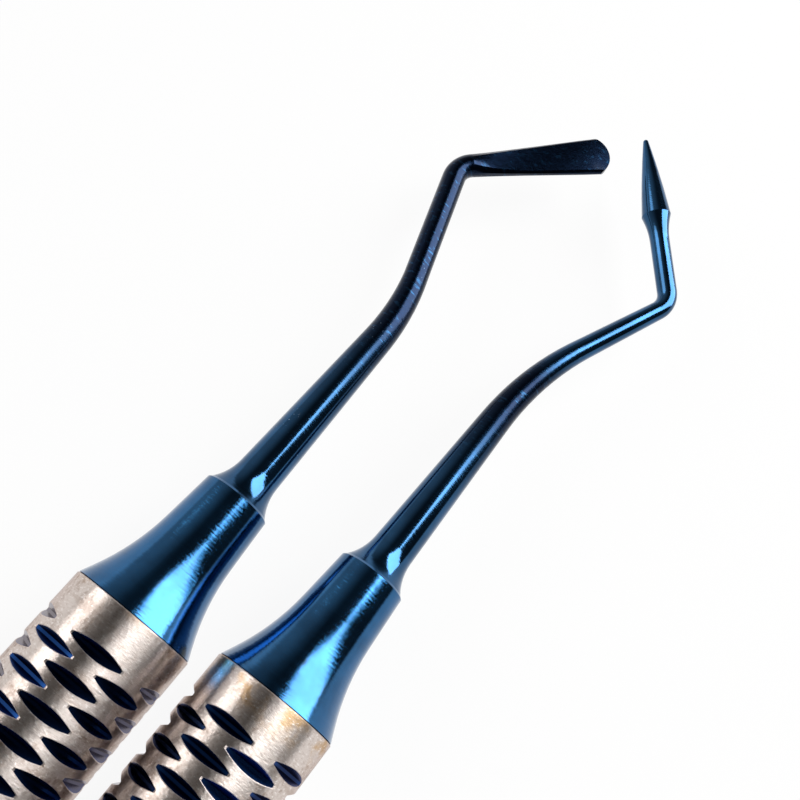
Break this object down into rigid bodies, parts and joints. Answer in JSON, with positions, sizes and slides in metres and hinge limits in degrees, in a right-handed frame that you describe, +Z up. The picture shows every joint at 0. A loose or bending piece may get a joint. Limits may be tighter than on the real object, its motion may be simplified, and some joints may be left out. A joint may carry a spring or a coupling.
{
  "type": "dental filling instrument pair",
  "caption": "Matched double-ended dental filling instruments, a flat paddle and a cone-shaped point on bent shanks, with grooved tubular handles and bell-shaped ferrules.",
  "frame": {"origin": "on the resting plane under the handles, midway between the two handles and midway along them", "axes": "+X along both handles towards the left instrument's paddle and the right instrument's point, +Y towards the left instrument, +Z up from the resting plane"},
  "size_m": [0.182, 0.022, 0.0095],
  "materials": {
    "handle_steel": "satin turned stainless steel, blue coating in the grooves",
    "coated_ferrule": "glossy blue hard coating over fine turning marks",
    "coated_tip": "glossy dark blue hard coating on polished steel"
  },
  "bodies": {
    "root": {"left_handle_tube": "handle_steel", "left_front_ferrule": "coated_ferrule", "left_rear_ferrule": "coated_ferrule", "left_paddle_tip": "coated_tip", "left_point_tip": "coated_tip", "right_handle_tube": "handle_steel", "right_front_ferrule": "coated_ferrule", "right_rear_ferrule": "coated_ferrule", "right_point_tip": "coated_tip", "right_paddle_tip": "coated_tip"}
  },
  "joints": []
}
